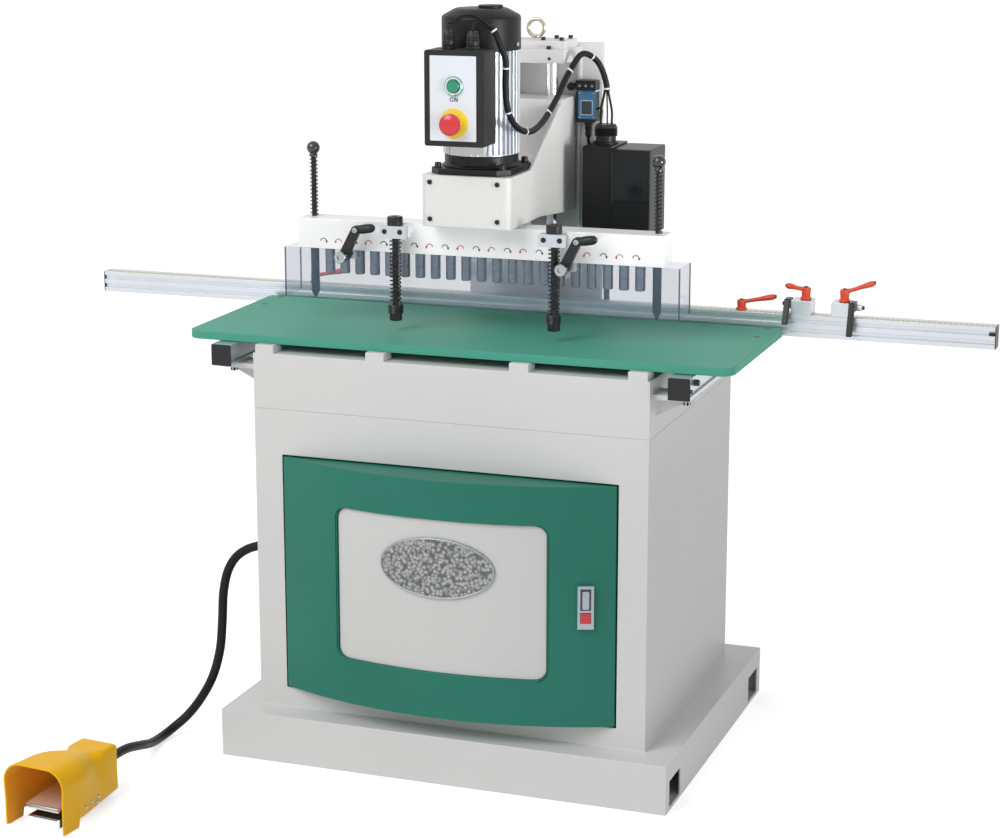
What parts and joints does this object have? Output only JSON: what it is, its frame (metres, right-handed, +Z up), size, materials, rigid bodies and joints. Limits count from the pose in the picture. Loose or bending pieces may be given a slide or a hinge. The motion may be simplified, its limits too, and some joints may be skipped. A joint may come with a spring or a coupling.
{
  "type": "line boring machine",
  "caption": "Free-standing line boring machine on a steel cabinet: sliding multi-spindle head with motor and clear guard, long fence with stops, green table and a foot pedal on a hose",
  "frame": {"origin": "middle of the base's underside, on the floor", "axes": "+X right along the fence, +Y to the back, +Z up"},
  "size_m": [1.906, 1.2153, 1.4705],
  "materials": {
    "paint": "satin light grey paint",
    "door_paint": "satin green paint",
    "table_paint": "satin green paint",
    "aluminium": "brushed",
    "cast_aluminium": "cast",
    "case_paint": "satin light grey paint",
    "steel": "brushed",
    "black_steel": "black oxide",
    "black_plastic": "fine grain",
    "black_rubber": "smooth",
    "red_plastic": "gloss",
    "orange_plastic": "gloss",
    "green_plastic": "gloss",
    "yellow_plastic": "satin",
    "clear_guard": "clear",
    "chrome": "bright plated",
    "white_plate": "satin",
    "blue_plastic": "satin",
    "pewter": "hammered pewter",
    "smoked_window": "smoked",
    "scale_tape": "printed ticks"
  },
  "bodies": {
    "machine_frame": {"cabinet": "paint", "top_frame": "paint", "table": "table_paint", "rail_left": "aluminium", "rail_right": "aluminium", "column": "paint", "electrical_box": "black_plastic", "wiring_harness": "black_rubber", "pedal_hose": "black_rubber", "pedal_housing": "yellow_plastic"},
    "door": {"cabinet_door": "door_paint"},
    "latch": {"latch_button": "red_plastic"},
    "head": {"head_casting": "case_paint", "motor": "cast_aluminium", "control_box": "black_plastic", "spindle_bar": "aluminium", "guard": "clear_guard", "index_spring_left": "black_steel", "index_spring_right": "black_steel", "holddown_spring_left": "black_steel", "holddown_spring_right": "black_steel"},
    "on_push": {"on_button": "green_plastic"},
    "stop_push": {"stop_button": "red_plastic"},
    "index_left": {"index_pin_left": "black_steel"},
    "index_right": {"index_pin_right": "black_steel"},
    "holddown_left": {"holddown_rod_left": "black_steel"},
    "holddown_right": {"holddown_rod_right": "black_steel"},
    "lever_left": {"guard_lever_left": "black_plastic"},
    "lever_right": {"guard_lever_right": "black_plastic"},
    "fence": {"fence_beam": "aluminium"},
    "fence_clamp_left": {"fence_lever_left": "orange_plastic"},
    "fence_clamp_right": {"fence_lever_right": "orange_plastic"},
    "inner_stop": {"stop_block_inner": "aluminium"},
    "inner_finger": {"stop_finger_inner": "black_steel"},
    "inner_clamp": {"stop_lever_inner": "orange_plastic"},
    "outer_stop": {"stop_block_outer": "aluminium"},
    "outer_finger": {"stop_finger_outer": "black_steel"},
    "outer_clamp": {"stop_lever_outer": "orange_plastic"},
    "treadle": {"pedal_treadle": "steel"},
    "chuck_01": {"chuck_01": "steel"},
    "chuck_02": {"chuck_02": "steel"},
    "chuck_03": {"chuck_03": "steel"},
    "chuck_04": {"chuck_04": "steel"},
    "chuck_05": {"chuck_05": "steel"},
    "chuck_06": {"chuck_06": "steel"},
    "chuck_07": {"chuck_07": "steel"},
    "chuck_08": {"chuck_08": "steel"},
    "chuck_09": {"chuck_09": "steel"},
    "chuck_10": {"chuck_10": "steel"},
    "chuck_11": {"chuck_11": "steel"},
    "chuck_12": {"chuck_12": "steel"},
    "chuck_13": {"chuck_13": "steel"},
    "chuck_14": {"chuck_14": "steel"},
    "chuck_15": {"chuck_15": "steel"},
    "chuck_16": {"chuck_16": "steel"},
    "chuck_17": {"chuck_17": "steel"},
    "chuck_18": {"chuck_18": "steel"},
    "chuck_19": {"chuck_19": "steel"},
    "chuck_20": {"chuck_20": "steel"},
    "chuck_21": {"chuck_21": "steel"}
  },
  "joints": [
    {"name": "head_slide", "type": "slide", "parent": "machine_frame", "child": "head", "axis": [0, 0, -1], "range_m": [0, 0.042], "stiffness_N_per_m": 2000, "springref_m": -0.75, "deforming": ["wiring_harness"]},
    {"name": "holddown_left_slide", "type": "slide", "parent": "head", "child": "holddown_left", "axis": [0, 0, 1], "range_m": [0, 0.03], "deforming": ["holddown_spring_left"]},
    {"name": "holddown_right_slide", "type": "slide", "parent": "head", "child": "holddown_right", "axis": [0, 0, 1], "range_m": [0, 0.03], "deforming": ["holddown_spring_right"]},
    {"name": "index_left_slide", "type": "slide", "parent": "head", "child": "index_left", "axis": [0, 0, 1], "range_m": [-0.04, 0], "stiffness_N_per_m": 500, "springref_m": 0.03, "deforming": ["index_spring_left"]},
    {"name": "index_right_slide", "type": "slide", "parent": "head", "child": "index_right", "axis": [0, 0, 1], "range_m": [-0.04, 0], "stiffness_N_per_m": 500, "springref_m": 0.03, "deforming": ["index_spring_right"]},
    {"name": "guard_lever_left_turn", "type": "hinge", "parent": "head", "child": "lever_left", "pos_m": [-0.263, -0.16, 0.99], "axis": [0, -1, 0], "range_deg": [0, 75]},
    {"name": "guard_lever_right_turn", "type": "hinge", "parent": "head", "child": "lever_right", "pos_m": [0.188, -0.16, 0.99], "axis": [0, 1, 0], "range_deg": [0, 75]},
    {"name": "chuck_01_spin", "type": "hinge", "parent": "head", "child": "chuck_01", "pos_m": [-0.32, -0.106, 0.97], "axis": [0, 0, 1], "continuous": true},
    {"name": "chuck_02_spin", "type": "hinge", "parent": "head", "child": "chuck_02", "pos_m": [-0.288, -0.106, 0.97], "axis": [0, 0, 1], "continuous": true},
    {"name": "chuck_03_spin", "type": "hinge", "parent": "head", "child": "chuck_03", "pos_m": [-0.256, -0.106, 0.97], "axis": [0, 0, 1], "continuous": true},
    {"name": "chuck_04_spin", "type": "hinge", "parent": "head", "child": "chuck_04", "pos_m": [-0.224, -0.106, 0.97], "axis": [0, 0, 1], "continuous": true},
    {"name": "chuck_05_spin", "type": "hinge", "parent": "head", "child": "chuck_05", "pos_m": [-0.192, -0.106, 0.97], "axis": [0, 0, 1], "continuous": true},
    {"name": "chuck_06_spin", "type": "hinge", "parent": "head", "child": "chuck_06", "pos_m": [-0.16, -0.106, 0.97], "axis": [0, 0, 1], "continuous": true},
    {"name": "chuck_07_spin", "type": "hinge", "parent": "head", "child": "chuck_07", "pos_m": [-0.128, -0.106, 0.97], "axis": [0, 0, 1], "continuous": true},
    {"name": "chuck_08_spin", "type": "hinge", "parent": "head", "child": "chuck_08", "pos_m": [-0.096, -0.106, 0.97], "axis": [0, 0, 1], "continuous": true},
    {"name": "chuck_09_spin", "type": "hinge", "parent": "head", "child": "chuck_09", "pos_m": [-0.064, -0.106, 0.97], "axis": [0, 0, 1], "continuous": true},
    {"name": "chuck_10_spin", "type": "hinge", "parent": "head", "child": "chuck_10", "pos_m": [-0.032, -0.106, 0.97], "axis": [0, 0, 1], "continuous": true},
    {"name": "chuck_11_spin", "type": "hinge", "parent": "head", "child": "chuck_11", "pos_m": [0, -0.106, 0.97], "axis": [0, 0, 1], "continuous": true},
    {"name": "chuck_12_spin", "type": "hinge", "parent": "head", "child": "chuck_12", "pos_m": [0.032, -0.106, 0.97], "axis": [0, 0, 1], "continuous": true},
    {"name": "chuck_13_spin", "type": "hinge", "parent": "head", "child": "chuck_13", "pos_m": [0.064, -0.106, 0.97], "axis": [0, 0, 1], "continuous": true},
    {"name": "chuck_14_spin", "type": "hinge", "parent": "head", "child": "chuck_14", "pos_m": [0.096, -0.106, 0.97], "axis": [0, 0, 1], "continuous": true},
    {"name": "chuck_15_spin", "type": "hinge", "parent": "head", "child": "chuck_15", "pos_m": [0.128, -0.106, 0.97], "axis": [0, 0, 1], "continuous": true},
    {"name": "chuck_16_spin", "type": "hinge", "parent": "head", "child": "chuck_16", "pos_m": [0.16, -0.106, 0.97], "axis": [0, 0, 1], "continuous": true},
    {"name": "chuck_17_spin", "type": "hinge", "parent": "head", "child": "chuck_17", "pos_m": [0.192, -0.106, 0.97], "axis": [0, 0, 1], "continuous": true},
    {"name": "chuck_18_spin", "type": "hinge", "parent": "head", "child": "chuck_18", "pos_m": [0.224, -0.106, 0.97], "axis": [0, 0, 1], "continuous": true},
    {"name": "chuck_19_spin", "type": "hinge", "parent": "head", "child": "chuck_19", "pos_m": [0.256, -0.106, 0.97], "axis": [0, 0, 1], "continuous": true},
    {"name": "chuck_20_spin", "type": "hinge", "parent": "head", "child": "chuck_20", "pos_m": [0.288, -0.106, 0.97], "axis": [0, 0, 1], "continuous": true},
    {"name": "chuck_21_spin", "type": "hinge", "parent": "head", "child": "chuck_21", "pos_m": [0.32, -0.106, 0.97], "axis": [0, 0, 1], "continuous": true},
    {"name": "on_button_press", "type": "slide", "parent": "head", "child": "on_push", "axis": [0, 1, 0], "range_m": [0, 0.0035], "stiffness_N_per_m": 600, "springref_m": -0.002},
    {"name": "stop_button_press", "type": "slide", "parent": "head", "child": "stop_push", "axis": [0, 1, 0], "range_m": [0, 0.005], "stiffness_N_per_m": 600, "springref_m": -0.002},
    {"name": "door_hinge", "type": "hinge", "parent": "machine_frame", "child": "door", "pos_m": [-0.326, -0.3025, 0.376], "axis": [0, 0, -1], "range_deg": [0, 90]},
    {"name": "latch_press", "type": "slide", "parent": "door", "child": "latch", "axis": [-0.3485, 0.9373, 0], "range_m": [0, 0.003], "stiffness_N_per_m": 600, "springref_m": -0.002},
    {"name": "fence_slide", "type": "slide", "parent": "machine_frame", "child": "fence", "axis": [0, 1, 0], "range_m": [-0.007, 0.055]},
    {"name": "fence_lever_left_turn", "type": "hinge", "parent": "fence", "child": "fence_clamp_left", "pos_m": [-0.459, 0.131, 0.886], "axis": [0, 0, 1], "range_deg": [-60, 60]},
    {"name": "fence_lever_right_turn", "type": "hinge", "parent": "fence", "child": "fence_clamp_right", "pos_m": [0.459, 0.131, 0.886], "axis": [0, 0, 1], "range_deg": [-60, 60]},
    {"name": "inner_stop_slide", "type": "slide", "parent": "fence", "child": "inner_stop", "axis": [1, 0, 0], "range_m": [-0.012, 0.015]},
    {"name": "outer_stop_slide", "type": "slide", "parent": "fence", "child": "outer_stop", "axis": [1, 0, 0], "range_m": [-0.015, 0.24]},
    {"name": "inner_finger_flip", "type": "hinge", "parent": "inner_stop", "child": "inner_finger", "pos_m": [0.555, 0.131, 0.8921], "axis": [-1, 0, 0], "range_deg": [0, 55]},
    {"name": "outer_finger_flip", "type": "hinge", "parent": "outer_stop", "child": "outer_finger", "pos_m": [0.681, 0.131, 0.8921], "axis": [-1, 0, 0], "range_deg": [0, 55]},
    {"name": "inner_lever_turn", "type": "hinge", "parent": "inner_stop", "child": "inner_clamp", "pos_m": [0.587, 0.131, 0.914], "axis": [0, 0, -1], "range_deg": [-30, 60]},
    {"name": "outer_lever_turn", "type": "hinge", "parent": "outer_stop", "child": "outer_clamp", "pos_m": [0.663, 0.131, 0.914], "axis": [0, 0, 1], "range_deg": [-30, 60]},
    {"name": "treadle_press", "type": "hinge", "parent": "machine_frame", "child": "treadle", "pos_m": [-0.59964, -0.69094, 0.044], "axis": [0.9942, -0.1071, 0], "range_deg": [0, 6], "stiffness_Nm_per_rad": 6, "springref_deg": -8.59}
  ],
  "couplings": [
    {"joint": "holddown_left_slide", "follows": "head_slide", "ratio": 0.6},
    {"joint": "holddown_right_slide", "follows": "head_slide", "ratio": 0.6},
    {"joint": "chuck_01_spin", "follows": "chuck_11_spin", "ratio": 1},
    {"joint": "chuck_02_spin", "follows": "chuck_11_spin", "ratio": -1},
    {"joint": "chuck_03_spin", "follows": "chuck_11_spin", "ratio": 1},
    {"joint": "chuck_04_spin", "follows": "chuck_11_spin", "ratio": -1},
    {"joint": "chuck_05_spin", "follows": "chuck_11_spin", "ratio": 1},
    {"joint": "chuck_06_spin", "follows": "chuck_11_spin", "ratio": -1},
    {"joint": "chuck_07_spin", "follows": "chuck_11_spin", "ratio": 1},
    {"joint": "chuck_08_spin", "follows": "chuck_11_spin", "ratio": -1},
    {"joint": "chuck_09_spin", "follows": "chuck_11_spin", "ratio": 1},
    {"joint": "chuck_10_spin", "follows": "chuck_11_spin", "ratio": -1},
    {"joint": "chuck_12_spin", "follows": "chuck_11_spin", "ratio": -1},
    {"joint": "chuck_13_spin", "follows": "chuck_11_spin", "ratio": 1},
    {"joint": "chuck_14_spin", "follows": "chuck_11_spin", "ratio": -1},
    {"joint": "chuck_15_spin", "follows": "chuck_11_spin", "ratio": 1},
    {"joint": "chuck_16_spin", "follows": "chuck_11_spin", "ratio": -1},
    {"joint": "chuck_17_spin", "follows": "chuck_11_spin", "ratio": 1},
    {"joint": "chuck_18_spin", "follows": "chuck_11_spin", "ratio": -1},
    {"joint": "chuck_19_spin", "follows": "chuck_11_spin", "ratio": 1},
    {"joint": "chuck_20_spin", "follows": "chuck_11_spin", "ratio": -1},
    {"joint": "chuck_21_spin", "follows": "chuck_11_spin", "ratio": 1}
  ]
}
